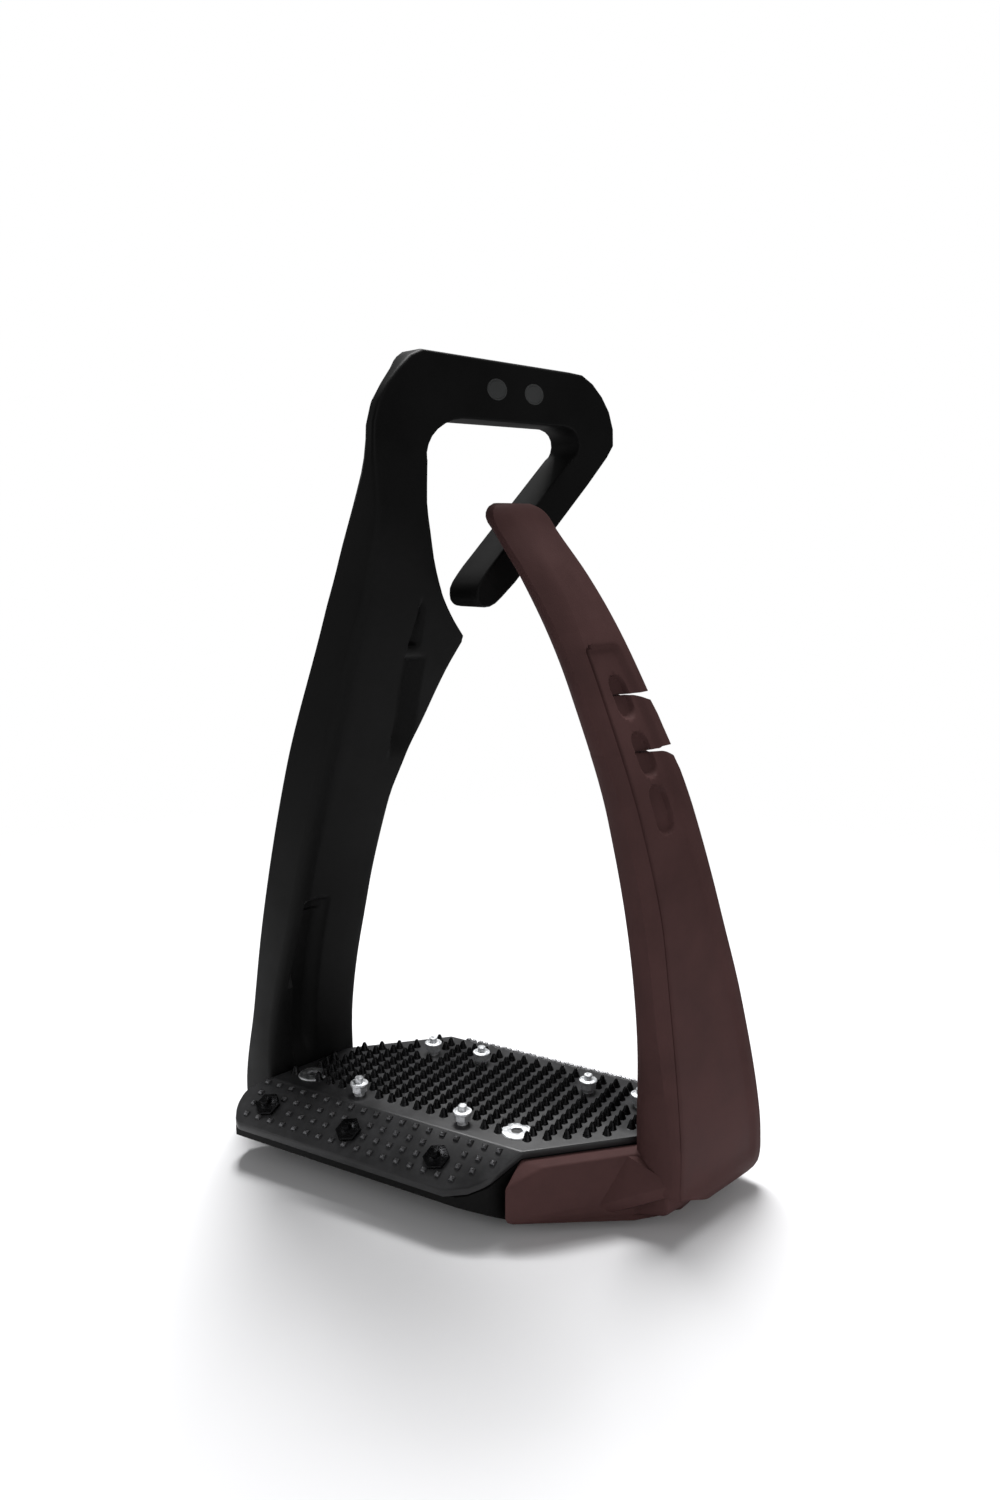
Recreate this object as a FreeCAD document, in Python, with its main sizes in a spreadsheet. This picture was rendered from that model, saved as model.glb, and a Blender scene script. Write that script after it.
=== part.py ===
"""A safety stirrup iron with a spring-steel-cored branch and a flexible outer arm.

Millimetres, +Z up.  The origin is on the ground under the centre of the tread.
+X runs along the tread from the main branch to the flexible arm, +Y to the rear.
Both arms stand in a frame turned a little about +Z: its first axis, called across,
runs from one arm to the other, and its second, called along, lies in both blades.
"""
import FreeCAD, Part
import math
import os
import Sketcher
from FreeCAD import Placement, Rotation, Vector

SIZES = [
    ("arm_yaw", 16, "turn of both arms about the vertical, degrees"),
    ("tread_height", 20, "top of the tread plate above the ground"),
    ("tread_half_depth", 23, "half depth of the flat tread"),
    ("tread_half_length", 45, "from the centre to either arm's inner face"),
    ("corner_cut", 34.2, "from the centre to the two cut corners"),
    ("plate", 2, "thickness of the tread plate"),
    ("facet_slope", 30, "slope of the front and rear facets, degrees"),
    ("facet_half_depth", 36, "half depth over both facets"),
    ("base_band_low", 8.2, "height of the base's lower front edge"),
    ("keel_half_depth", 20, "half depth of the flat underside"),
    ("bilge_half_depth", 24, "half depth where the underside turns up"),
    ("bilge_height", 1.5, "height where the underside turns up"),
    ("eye_front", 8, "inner face of the leather eye, across"),
    ("eye_thick", 10, "thickness of the leather eye"),
    ("eye_front_edge", 38.6, "from the middle to the front edge of the leather eye"),
    ("eye_rear_edge", 39.8, "from the middle to the rear edge of the leather eye"),
    ("eye_top", 203, "top of the leather eye"),
    ("slot_top", 189.4, "underside of the crossbar"),
    ("slot_half_width", 23.8, "half width of the leather slot"),
    ("hook_end", -8, "end of the hook, along"),
    ("hook_slant", 160.3, "height at which the hook's upper face would cross the middle"),
    ("hook_bar", 8.5, "thickness of the hook in its own plane"),
    ("core_thick", 3, "thickness of the spring-steel core"),
    ("core_plug_radius", 2, "radius of the plugs in the crossbar"),
    ("core_plug_height", 196.5, "height of the plugs in the crossbar"),
    ("arm_gap", 0.3, "gap between two sections of the flexible arm"),
    ("first_bend", 38, "height of the arm's lowest bend"),
    ("second_bend", 114, "height of the lower relief slit"),
    ("third_bend", 128, "height of the upper relief slit"),
    ("slit_height", 2.4, "mouth of a relief slit"),
    ("slit_root", 8, "along position where a relief slit ends"),
    ("stud_shank_radius", 1.5, "radius of a stud's thread"),
    ("stud_body_radius", 2.1, "radius of a stud's hexagonal waist"),
    ("stud_flange_radius", 2.4, "radius of a stud's flange"),
    ("facet_stud_radius", 3.5, "radius of a facet stud's flange"),
    ("facet_stud_height", 3.1, "height of a facet stud above its facet"),
    ("stud_height", 5, "height of a stud above the plate"),
    ("stud_depth", 5, "depth of a stud's thread below the plate's top"),
    ("screw_head_radius", 3.95, "radius of a tread screw's head"),
    ("screw_head_depth", 1.6, "depth of a tread screw's countersink"),
    ("screw_radius", 1.5, "radius of a tread screw's thread"),
    ("screw_length", 6.5, "length of a tread screw"),
    ("insert_radius", 2.5, "outer radius of a brass insert"),
    ("insert_length", 5, "length of an arm screw's brass insert"),
    ("pad_insert_length", 3.5, "length of a tread screw's brass insert"),
    ("tongue", 4.5, "thickness of the arm's tongue under the base"),
    ("arm_screw_head_radius", 3.2, "radius of an arm screw's head"),
    ("arm_screw_head", 2, "height of an arm screw's head"),
]

doc = FreeCAD.newDocument("stirrup_iron")
sheet = doc.addObject("Spreadsheet::Sheet", "sizes")
for row, (alias, value, note) in enumerate(SIZES, start=1):
    sheet.set("A%d" % row, alias)
    sheet.set("B%d" % row, str(value))
    sheet.set("C%d" % row, note)
    sheet.setAlias("B%d" % row, alias)
doc.recompute()

ACROSS, ALONG, UP = Vector(1, 0, 0), Vector(0, 1, 0), Vector(0, 0, 1)
nodes = {}


def size(alias):
    """A driving dimension, read back from the sheet."""
    return float(sheet.get(alias))


def turned():
    """The placement of the arms' own frame."""
    return Placement(Vector(), Rotation(UP, -size("arm_yaw")))


def arm_point(across, along, height):
    """A point of the arms' frame, in the frame of the whole stirrup."""
    return turned().multVec(Vector(across, along, height))


# ---------------------------------------------------------------- sketches

def origin_plane(body, role):
    return next(item for item in body.Origin.OriginFeatures if item.Role == role)


def polygon_sketch(body, name, role, corners):
    """A closed polygon on an origin plane; each coordinate is a formula of the sheet."""
    sketch = body.newObject("Sketcher::SketchObject", name)
    sketch.AttachmentSupport = [(origin_plane(body, role), "")]
    sketch.MapMode = "FlatFace"
    values = [Vector(evaluate(first), evaluate(second), 0) for first, second in corners]
    for start, end in zip(values, values[1:] + values[:1]):
        sketch.addGeometry(Part.LineSegment(start, end), False)
    count = len(values)
    for corner in range(count):
        sketch.addConstraint(Sketcher.Constraint("Coincident", corner, 2, (corner + 1) % count, 1))
    for corner, formulas in enumerate(corners):
        for kind, formula, value in zip(("DistanceX", "DistanceY"), formulas, values[corner]):
            index = sketch.addConstraint(Sketcher.Constraint(kind, corner, 1, value))
            sketch.setExpression("Constraints[%d]" % index, formula)
    return sketch


def evaluate(formula):
    """The number that a formula of sheet cells gives, such as "sizes.plate / 2"."""
    result = sheet.evalExpression(formula)
    return float(getattr(result, "Value", result))


def padded(name, role, corners, length, symmetric=True):
    """A body made by padding one polygon."""
    body = doc.addObject("PartDesign::Body", name)
    sketch = polygon_sketch(body, name + "_outline", role, corners)
    pad = body.newObject("PartDesign::Pad", name + "_pad")
    pad.Profile = sketch
    pad.Midplane = symmetric
    pad.setExpression("Length", length)
    body.Tip = pad
    return body


def revolved(name, corners, position, tilt=Rotation()):
    """A body turned about its own vertical axis from half of its section."""
    body = doc.addObject("PartDesign::Body", name)
    sketch = polygon_sketch(body, name + "_section", "XZ_Plane", corners)
    turn = body.newObject("PartDesign::Revolution", name + "_turn")
    turn.Profile = sketch
    turn.ReferenceAxis = (sketch, ["V_Axis"])
    turn.Angle = 360
    body.Tip = turn
    body.Placement = Placement(position, tilt)
    return body


# ---------------------------------------------------------------- Part features

def feature(name, shape, placement=None):
    """A curved piece whose shape is made with Part's own functions."""
    item = doc.addObject("Part::Feature", name)
    item.Shape = shape
    item.Placement = placement or turned()
    return item


def cut(name, base, tools):
    item = doc.addObject("Part::Cut", name)
    item.Base = base
    item.Tool = tools[0] if len(tools) == 1 else fused(name + "_tools", tools)
    return item


def fused(name, pieces):
    item = doc.addObject("Part::MultiFuse", name)
    item.Shapes = pieces
    return item


def common(name, first, second):
    item = doc.addObject("Part::MultiCommon", name)
    item.Shapes = [first, second]
    return item


def keep(name, item):
    """Makes an object one of the stirrup's pieces."""
    item.Label = name
    nodes[name] = item
    return item


def curve(points):
    """A smooth edge through a few points."""
    spline = Part.BSplineCurve()
    spline.interpolate(points)
    return spline.toShape()


def outline_solid(runs, direction, length):
    """A solid swept along direction from a closed outline.

    Each run is a list of points: two make a straight edge, more make a smooth one.
    """
    edges = []
    for run in runs:
        edges.append(Part.makeLine(*run) if len(run) == 2 else curve(run))
    face = Part.Face(Part.Wire(edges))
    return face.extrude(direction * length)


def face_on(points, across):
    """Points of the view across the stirrup, given as (along, height)."""
    return [Vector(across, along, height) for along, height in points]


def edge_on(points, along):
    """Points of the view along the blades, given as (across, height)."""
    return [Vector(across, along, height) for across, height in points]


def blade(width_runs, depth_runs):
    """A curved blade: its outline seen face on, met by its outline seen edge on."""
    face_view = outline_solid([face_on(run, -90) for run in width_runs], ACROSS, 180)
    edge_view = outline_solid([edge_on(run, -60) for run in depth_runs], ALONG, 130)
    return face_view.common(edge_view)


def block(low, high):
    """A box between two corners of the arms' frame."""
    return Part.makeBox(high[0] - low[0], high[1] - low[1], high[2] - low[2], Vector(*low))


# ---------------------------------------------------------------- main branch and eye

FOOT_HEIGHT = 2
EYE_JOIN = 180


def main_branch_shape():
    """The blade that carries the load, from the base up to the leather eye."""
    left, slot = -size("eye_front_edge"), -size("slot_half_width")
    end = -size("tread_half_length") - 1
    width = [
        [(-35.2, FOOT_HEIGHT), (-35.2, 155)],
        [(-35.2, 155), (-36.6, 166), (left, EYE_JOIN)],
        [(left, EYE_JOIN), (slot, EYE_JOIN)],
        [(slot, EYE_JOIN), (-23.4, 172), (-19.3, 162), (-11.9, 151), (-0.8, 140)],
        [(-0.8, 140), (-1, 138.5)],
        [(-1, 138.5), (-6.9, 118.5), (-11.5, 96), (-11.8, 77), (-10.7, 58), (-8.8, 34), (-8, 18)],
        [(-8, 18), (-8, FOOT_HEIGHT)],
        [(-8, FOOT_HEIGHT), (-35.2, FOOT_HEIGHT)],
    ]
    front, back = size("eye_front"), size("eye_front") - size("eye_thick")
    depth = [
        [(-54, FOOT_HEIGHT), (-61, 10)],
        [(-61, 10), (-55.1, 37), (-48.8, 63.5), (-34.2, 108), (-17.3, 144), (-5.2, 171), (back, EYE_JOIN)],
        [(back, EYE_JOIN), (front, EYE_JOIN)],
        [(front, EYE_JOIN), (6.8, 170), (-0.5, 151), (-12, 124), (-31, 74), (end, 20)],
        [(end, 20), (end, FOOT_HEIGHT)],
        [(end, FOOT_HEIGHT), (-54, FOOT_HEIGHT)],
    ]
    return blade(width, depth)


def branch_relief():
    """The long moulded groove low on the inner face."""
    return block((-60, -26.5, 25), (-33.5, -22.5, 56)).common(
        outline_solid([edge_on(run, -60) for run in [
            [(-47.5, 25), (-38.2, 56)],
            [(-38.2, 56), (-30, 56)],
            [(-30, 56), (-40, 25)],
            [(-40, 25), (-47.5, 25)],
        ]], ALONG, 130))


def leather_eye_shape():
    """The crossbar and the hook that holds the leather, one flat bent bar."""
    left, right, top = -size("eye_front_edge"), size("eye_rear_edge"), size("eye_top")
    slot, slot_top = size("slot_half_width"), size("slot_top")
    end, bar = size("hook_end"), size("hook_bar")
    back = size("eye_front") - size("eye_thick")
    slant = size("hook_slant")
    outer = slant - bar * math.sqrt(2)
    corner = 12
    runs = [
        [(left, EYE_JOIN), (left, top - corner - 3)],
        [(left, top - corner - 3), (left + 4, top - 5), (left + corner, top)],
        [(left + corner, top), (right - corner, top)],
        [(right - corner, top), (right - 3, top - 6), (right, outer + right)],
        [(right, outer + right), (end + bar, outer + end + bar)],
        [(end + bar, outer + end + bar), (end + 2, slant + end - bar / 2 - 1), (end, slant + end)],
        [(end, slant + end), (slot, slant + slot)],
        [(slot, slant + slot), (slot + 1, slot_top - 2), (slot - 2, slot_top)],
        [(slot - 2, slot_top), (-slot + 9, slot_top)],
        [(-slot + 9, slot_top), (-slot + 2.4, slot_top - 3), (-slot, EYE_JOIN)],
        [(-slot, EYE_JOIN), (left, EYE_JOIN)],
    ]
    return outline_solid([face_on(run, back) for run in runs], ACROSS, size("eye_thick"))


def steel_core_shape():
    """The spring-steel strip: through the base, up the branch and along the crossbar."""
    thick = size("core_thick")
    top, join = 197, 178
    width = [
        [(-30, 10), (-30, 150)],
        [(-30, 150), (-31.5, 165), (-33, join)],
        [(-33, join), (-27, join)],
        [(-27, join), (-25.5, 165), (-20, 140)],
        [(-20, 140), (-18.5, 60)],
        [(-18.5, 60), (-18, 10)],
        [(-18, 10), (-30, 10)],
    ]
    middle = [(-54.5, 10), (-48.8, 44), (-41, 74), (-24.6, 118), (-9.6, 149), (0.6, 170), (2.4, join)]
    depth = [
        middle,
        [middle[-1], (middle[-1][0] + thick, join)],
        [(x + thick, height) for x, height in reversed(middle)],
        [(middle[0][0] + thick, 10), middle[0]],
    ]
    riser = blade(width, depth)
    head = block((2.4, -30.5, join), (2.4 + thick, -26, top - 3.5))
    crossbar = block((2.4, -27, top - 5.5), (2.4 + thick, 31, top))
    leg = [(-54.5, -30), (-36, -30), (34, -8), (34, 10), (-28, -9), (-54.5, -18)]
    leg_points = [Vector(across, along, 10) for across, along in leg]
    sole = Part.Face(Part.makePolygon(leg_points + leg_points[:1])).extrude(UP * thick)
    return riser.fuse([head, crossbar, sole]).removeSplitter()


steel_core = keep("steel_core", feature("steel_core", steel_core_shape()))
PLUGS = {"core_plug_front": -2.3, "core_plug_rear": 9.9}
plug_start = 2.4 + size("core_thick")
for plug_name, plug_along in PLUGS.items():
    plug = keep(plug_name, doc.addObject("Part::Cylinder", plug_name))
    plug.setExpression("Radius", "sizes.core_plug_radius")
    plug.setExpression("Height", "sizes.eye_front - 2.4 - sizes.core_thick - 0.3")
    turn_level = Rotation(UP, -size("arm_yaw")).multiply(Rotation(ALONG, 90))
    plug.Placement = Placement(arm_point(plug_start, plug_along, size("core_plug_height")), turn_level)

branch_blank = feature("branch_blank", main_branch_shape())
groove = feature("branch_groove", branch_relief())
main_branch = keep("main_branch", cut("main_branch", branch_blank, [steel_core, groove]))
eye_blank = feature("eye_blank", leather_eye_shape())
leather_eye = keep("leather_eye", cut(
    "leather_eye", eye_blank, [steel_core] + [nodes[name] for name in PLUGS]))

# ---------------------------------------------------------------- studs, screws and inserts

STUD = [
    ("0", "-sizes.stud_depth"),
    ("sizes.stud_shank_radius", "-sizes.stud_depth"),
    ("sizes.stud_shank_radius", "0"),
    ("sizes.stud_body_radius", "0"),
    ("sizes.stud_body_radius", "sizes.stud_height * 0.45"),
    ("sizes.stud_flange_radius", "sizes.stud_height * 0.55"),
    ("sizes.stud_flange_radius", "sizes.stud_height * 0.7"),
    ("sizes.stud_shank_radius", "sizes.stud_height * 0.75"),
    ("sizes.stud_shank_radius * 0.8", "sizes.stud_height"),
    ("0", "sizes.stud_height"),
]
FACET_STUD = [
    ("0", "-sizes.stud_depth"),
    ("sizes.stud_shank_radius", "-sizes.stud_depth"),
    ("sizes.stud_shank_radius", "0"),
    ("sizes.facet_stud_radius", "0.1"),
    ("sizes.facet_stud_radius", "1.1"),
    ("sizes.stud_shank_radius * 0.8", "1.6"),
    ("sizes.stud_shank_radius * 0.8", "sizes.facet_stud_height"),
    ("0", "sizes.facet_stud_height"),
]
TOP_STUDS = [(-26.6, -19), (4.9, -18.5), (-22.6, 11), (-7.6, 12.5), (25.4, 12), (40.4, 11.5)]
FACET_STUDS = (-48.5, -22, 4.5)
PAD_SCREWS = {"left": (-44.4, -16.2), "right": (18.9, -15.7)}
tread_top = size("tread_height")
fasteners = []


def facet_point(distance):
    """Depth and height of a point of the facet, at a distance down its slope."""
    slope = math.radians(size("facet_slope"))
    depth = size("tread_half_depth") + distance * math.cos(slope)
    return depth, size("tread_height") - distance * math.sin(slope)


for number, (x, y) in enumerate(TOP_STUDS, start=1):
    stud_name = "top_stud_%d" % number
    fasteners.append(keep(stud_name, revolved(stud_name, STUD, Vector(x, y, tread_top))))
facet_depth, facet_height = facet_point(8)
for number, x in enumerate(FACET_STUDS, start=1):
    stud_name = "front_stud_%d" % number
    spot = Vector(x, -facet_depth, facet_height)
    tilt = Rotation(ACROSS, size("facet_slope"))
    fasteners.append(keep(stud_name, revolved(stud_name, FACET_STUD, spot, tilt)))

PAD_SCREW = [
    ("0", "-sizes.screw_length"),
    ("sizes.screw_radius", "-sizes.screw_length"),
    ("sizes.screw_radius", "-sizes.screw_head_depth"),
    ("sizes.screw_head_radius", "-0.3"),
    ("sizes.screw_head_radius", "0.4"),
    ("0", "0.6"),
]


def sleeve(length):
    """Half the section of a brass insert."""
    return [
        ("sizes.screw_radius", "0"),
        ("sizes.insert_radius", "0"),
        ("sizes.insert_radius", length),
        ("sizes.screw_radius", length),
    ]


inserts = []
for side, (x, y) in PAD_SCREWS.items():
    screw_name, insert_name = "pad_screw_" + side, "pad_insert_" + side
    fasteners.append(keep(screw_name, revolved(screw_name, PAD_SCREW, Vector(x, y, tread_top))))
    insert_spot = Vector(x, y, tread_top - size("screw_length"))
    inserts.append(keep(insert_name, revolved(insert_name, sleeve("sizes.pad_insert_length"), insert_spot)))

ARM_SCREW = [
    ("0", "0"),
    ("sizes.arm_screw_head_radius", "0"),
    ("sizes.arm_screw_head_radius", "sizes.arm_screw_head"),
    ("sizes.screw_radius", "sizes.arm_screw_head"),
    ("sizes.screw_radius", "sizes.tongue + sizes.insert_length"),
    ("0", "sizes.tongue + sizes.insert_length"),
]
ARM_SCREWS = {"front": (32, -9), "rear": (36, 9)}
arm_screws = []
for side, (x, y) in ARM_SCREWS.items():
    screw_name, insert_name = "arm_screw_" + side, "arm_insert_" + side
    arm_screws.append(keep(screw_name, revolved(screw_name, ARM_SCREW, Vector(x, y, 0.4))))
    insert_spot = Vector(x, y, size("tongue") + 0.4)
    inserts.append(keep(insert_name, revolved(insert_name, sleeve("sizes.insert_length"), insert_spot)))

# ---------------------------------------------------------------- tread plate and base

TAN = "tan(sizes.facet_slope)"
FACET_DROP = "(sizes.facet_half_depth - sizes.tread_half_depth) * " + TAN
UNDER = "(sizes.tread_half_depth - 0.54)"
FACET_EDGE = "(sizes.facet_half_depth - 1)"
half_section = [
    ("sizes.tread_half_depth", "sizes.tread_height"),
    ("sizes.facet_half_depth", "sizes.tread_height - " + FACET_DROP),
    (FACET_EDGE, "sizes.tread_height - " + FACET_DROP + " - sizes.plate * 0.87"),
    (UNDER, "sizes.tread_height - sizes.plate"),
]
mirrored_section = [("-" + depth, height) for depth, height in reversed(half_section)]
plate_bent = padded("plate_bent", "YZ_Plane", half_section + mirrored_section, "140")

base_half = [
    (UNDER, "sizes.tread_height - sizes.plate"),
    (FACET_EDGE, "sizes.tread_height - " + FACET_DROP + " - sizes.plate * 0.87"),
    (FACET_EDGE, "sizes.base_band_low"),
    ("sizes.bilge_half_depth", "sizes.bilge_height"),
    ("sizes.keel_half_depth", "0"),
]
base_mirror = [("-" + depth, height) for depth, height in reversed(base_half)]
base_long = padded("base_long", "YZ_Plane", base_half + base_mirror, "140")


def plan_corner(depth):
    """Where an arm's inner face crosses a given depth, as a formula for x."""
    return "(sizes.tread_half_length + (%s) * sin(sizes.arm_yaw)) / cos(sizes.arm_yaw)" % depth


ROUND = "sizes.facet_half_depth - 4"
CUT_X = "(sizes.corner_cut * 1.4142 %s)"
half_plan = [
    ("-(%s)" % plan_corner("sizes.tread_half_depth"), "-sizes.tread_half_depth"),
    ("-58.4", "-27.5"),
    ("-58", "-(%s)" % ROUND),
    ("-55", "-sizes.facet_half_depth"),
    ("10", "-sizes.facet_half_depth"),
    ("15.5", "-(%s)" % ROUND + " - 2"),
    ("19.5", "-31"),
    (CUT_X % "- sizes.tread_half_depth - 1", "-sizes.tread_half_depth"),
    ("46.2", "-2.2"),
]
turned_plan = [(x[1:] if x.startswith("-") else "-(%s)" % x, "-(%s)" % y) for x, y in half_plan]
plan = padded("tread_plan", "XY_Plane", half_plan + turned_plan, "80")

plate_blank = common("plate_blank", plate_bent, plan)
tread_plate = keep("tread_plate", cut("tread_plate", plate_blank, fasteners))


def outer_low_edges(shell, plan_points):
    """The shell's lower edges that run between consecutive plan points."""
    found = []
    for (x0, y0), (x1, y1) in zip(plan_points, plan_points[1:]):
        middle = Vector((x0 + x1) / 2, (y0 + y1) / 2, shell.BoundBox.ZMin)
        found.append(min(shell.Edges, key=lambda edge: edge.CenterOfMass.distanceToPoint(middle)))
    return found


def foot_shape():
    """The arm's foot: a shell round the cut corner of the base, and the tongue under it."""
    height = size("tread_height")
    plan_points = [(23.5, -30.5), (47.5, -6.5), (58.9, -9.3), (69.4, 23.6), (57, 27.6), (40, 2), (24, -16)]
    corners = [Vector(x, y, 1.5) for x, y in plan_points]
    shell = Part.Face(Part.makePolygon(corners + corners[:1])).extrude(UP * (height - 3.7))
    shell = shell.makeChamfer(5, 3.5, outer_low_edges(shell, plan_points[:5]))
    tongue_plan = [(27, -20), (34, -20), (56, 2), (59, 20), (46, 20), (27, -6)]
    corners = [Vector(x, y, 0) for x, y in tongue_plan]
    tongue = Part.Face(Part.makePolygon(corners + corners[:1])).extrude(UP * size("tongue"))
    return shell.fuse(tongue)


def front_wedge():
    """What lies above the slope of the front facet, cut from the foot's front corner."""
    drop, depth = facet_point(20)[1], facet_point(20)[0]
    top = size("tread_height")
    section = [Vector(0, -size("tread_half_depth"), top - size("plate")),
               Vector(0, -depth, drop - size("plate")), Vector(0, -depth, top + 5),
               Vector(0, -size("tread_half_depth"), top + 5)]
    return Part.Face(Part.makePolygon(section + section[:1])).extrude(ACROSS * 60)


# ---------------------------------------------------------------- flexible arm

def arm_shape():
    """The whole flexible arm as one blade, before it is divided at its bends."""
    width = [
        [(4, FOOT_HEIGHT), (4.5, 25), (5.5, 53), (5.2, 71), (0, 120), (-3, 143), (-8.4, 165)],
        [(-8.4, 165), (-8.8, 168.6), (-6.4, 171.3)],
        [(-6.4, 171.3), (1.5, 171.8)],
        [(1.5, 171.8), (5.7, 170), (8.6, 165)],
        [(8.6, 165), (15.6, 146), (20.2, 128), (27, 97.5), (38, 50), (42.4, 8)],
        [(42.4, 8), (39, FOOT_HEIGHT)],
        [(39, FOOT_HEIGHT), (4, FOOT_HEIGHT)],
    ]
    inner = size("tread_half_length")
    depth = [
        [(55.5, FOOT_HEIGHT), (60.5, 9)],
        [(60.5, 9), (54.7, 53), (46.5, 100), (35.8, 130), (23.8, 155), (16.5, 166.5), (14.2, 172)],
        [(14.2, 172), (9, 172)],
        [(9, 172), (9.4, 167), (16.2, 154), (27.8, 130), (38.2, 100), (inner + 0.5, 50), (inner + 1, 22)],
        [(inner + 1, 22), (inner + 1, FOOT_HEIGHT)],
        [(inner + 1, FOOT_HEIGHT), (55.5, FOOT_HEIGHT)],
    ]
    return blade(width, depth)


def arm_outer(height):
    """How far across the arm's outer face stands at a height."""
    face = arm_whole.section(Part.makePlane(200, 200, Vector(-100, -100, height)))
    return face.BoundBox.XMax


def arm_section(low, high):
    """The part of the arm between two heights."""
    return arm_whole.common(block((-20, -60, low), (90, 80, high)))


arm_whole = arm_shape()
gap = size("arm_gap")
bends = [size("first_bend"), size("second_bend"), size("third_bend")]
levels = [FOOT_HEIGHT] + bends + [175]
sections = []
for low, high in zip(levels, levels[1:]):
    piece = arm_section(low + (gap if low != FOOT_HEIGHT else 0), high)
    sections.append(piece)


def slit(height):
    """A relief slit: a wedge that opens towards the arm's rear edge."""
    root, mouth = size("slit_root"), 30
    points = [Vector(0, root, height), Vector(0, mouth, height - size("slit_height")),
              Vector(0, mouth, height + size("slit_height") * 0.2)]
    return Part.Face(Part.makePolygon(points + points[:1])).extrude(ACROSS * 80)


def dimple(low, high, along):
    """A shallow finger-shaped recess in the arm's outer face."""
    width = 6
    middle = (low + high) / 2
    depth = arm_outer(middle) - 1.8
    tilt = math.degrees(math.atan2(arm_outer(low) - arm_outer(high), high - low))
    recess = Part.makeBox(10, width, high - low, Vector(0, -width / 2, -(high - low) / 2))
    recess.Placement = Placement(Vector(depth, along, middle), Rotation(ALONG, -tilt))
    return recess


sections[1] = sections[1].cut([slit(bends[1]), dimple(95.5, 107.5, 15.5)])
sections[2] = sections[2].cut([slit(bends[2])])
foot_cutter = front_wedge()
arm_root = feature("arm_root", sections[0])
foot_blank = feature("foot_blank", foot_shape().cut(foot_cutter), Placement())
foot_whole = fused("foot_whole", [foot_blank, arm_root])
plate_and_base = common("base_blank", base_long, plan)
tongue_room = feature("tongue_room", foot_shape().common(
    Part.makeBox(60, 60, size("tongue"), Vector(20, -30, 0))), Placement())
tread_base = keep("tread_base", cut(
    "tread_base", plate_and_base,
    [tongue_room, steel_core, main_branch] + fasteners + inserts + arm_screws))
arm_foot = keep("arm_foot", cut(
    "arm_foot", foot_whole, [tread_base, tread_plate, steel_core] + inserts + arm_screws))
for arm_name, shape in zip(("arm_lower", "arm_middle", "arm_upper"), sections[1:]):
    keep(arm_name, feature(arm_name, shape))

# ---------------------------------------------------------------- check and write

doc.recompute()
for item in doc.Objects:
    if "Invalid" in item.State or "Error" in item.State:
        raise RuntimeError("%s did not recompute: %s" % (item.Label, item.State))
os.makedirs("parts", exist_ok=True)
for name, item in sorted(nodes.items()):
    shape = item.Shape
    if shape.isNull() or not shape.isValid() or not shape.Solids:
        raise RuntimeError("%s has no valid solid" % name)
    shape.exportStep("parts/%s.step" % name)
    box = shape.BoundBox
    print("%-18s solids %d  volume %8.1f  x %6.1f..%6.1f  y %6.1f..%6.1f  z %6.1f..%6.1f" % (
        name, len(shape.Solids), shape.Volume, box.XMin, box.XMax, box.YMin, box.YMax, box.ZMin, box.ZMax))
for height in bends:
    pivot = arm_point(arm_outer(height), 0, height)
    print("bend at %.0f: pivot x %.3f y %.3f" % (height, pivot.x, pivot.y))
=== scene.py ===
import math

import bmesh
import bpy
from mathutils import Matrix, Vector


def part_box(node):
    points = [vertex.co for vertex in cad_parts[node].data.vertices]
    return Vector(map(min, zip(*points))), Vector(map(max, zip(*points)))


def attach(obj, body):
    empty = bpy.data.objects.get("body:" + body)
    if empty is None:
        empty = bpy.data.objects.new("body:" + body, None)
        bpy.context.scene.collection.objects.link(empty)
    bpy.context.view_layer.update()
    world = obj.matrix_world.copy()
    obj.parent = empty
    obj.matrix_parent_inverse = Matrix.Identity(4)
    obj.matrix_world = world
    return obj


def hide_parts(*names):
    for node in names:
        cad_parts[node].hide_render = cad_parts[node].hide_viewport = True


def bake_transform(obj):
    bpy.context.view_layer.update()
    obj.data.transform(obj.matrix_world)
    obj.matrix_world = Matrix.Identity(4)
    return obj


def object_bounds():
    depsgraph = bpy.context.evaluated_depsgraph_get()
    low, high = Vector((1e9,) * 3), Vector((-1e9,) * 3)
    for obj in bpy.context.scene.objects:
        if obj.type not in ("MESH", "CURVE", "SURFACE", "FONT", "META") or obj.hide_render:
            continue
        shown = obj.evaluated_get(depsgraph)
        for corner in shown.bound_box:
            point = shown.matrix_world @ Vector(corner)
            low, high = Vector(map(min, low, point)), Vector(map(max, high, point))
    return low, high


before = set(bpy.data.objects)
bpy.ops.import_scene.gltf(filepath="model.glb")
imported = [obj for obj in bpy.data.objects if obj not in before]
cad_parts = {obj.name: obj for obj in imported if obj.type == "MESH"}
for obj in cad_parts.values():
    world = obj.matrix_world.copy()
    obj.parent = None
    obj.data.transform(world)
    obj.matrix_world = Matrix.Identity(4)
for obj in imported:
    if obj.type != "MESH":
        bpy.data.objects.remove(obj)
cad_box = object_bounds()

# Lengths below are millimetres. Both arms stand on a line turned about the vertical: "across" runs
# from the branch to the flexible arm, "along" runs front to rear.
MM = 0.001
ARM_YAW = math.radians(16)
TREAD_TOP = 20
FACET_SLOPE = math.radians(30)
FOLD_DEPTH = 23
FACET_DEPTH = 36
PLATE = 2


def arm_point(across, along, height):
    """A point given in the arms' own directions."""
    turn_cos, turn_sin = math.cos(ARM_YAW), math.sin(ARM_YAW)
    return Vector((across * turn_cos + along * turn_sin, along * turn_cos - across * turn_sin, height))


# ---- curves and meshes

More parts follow.
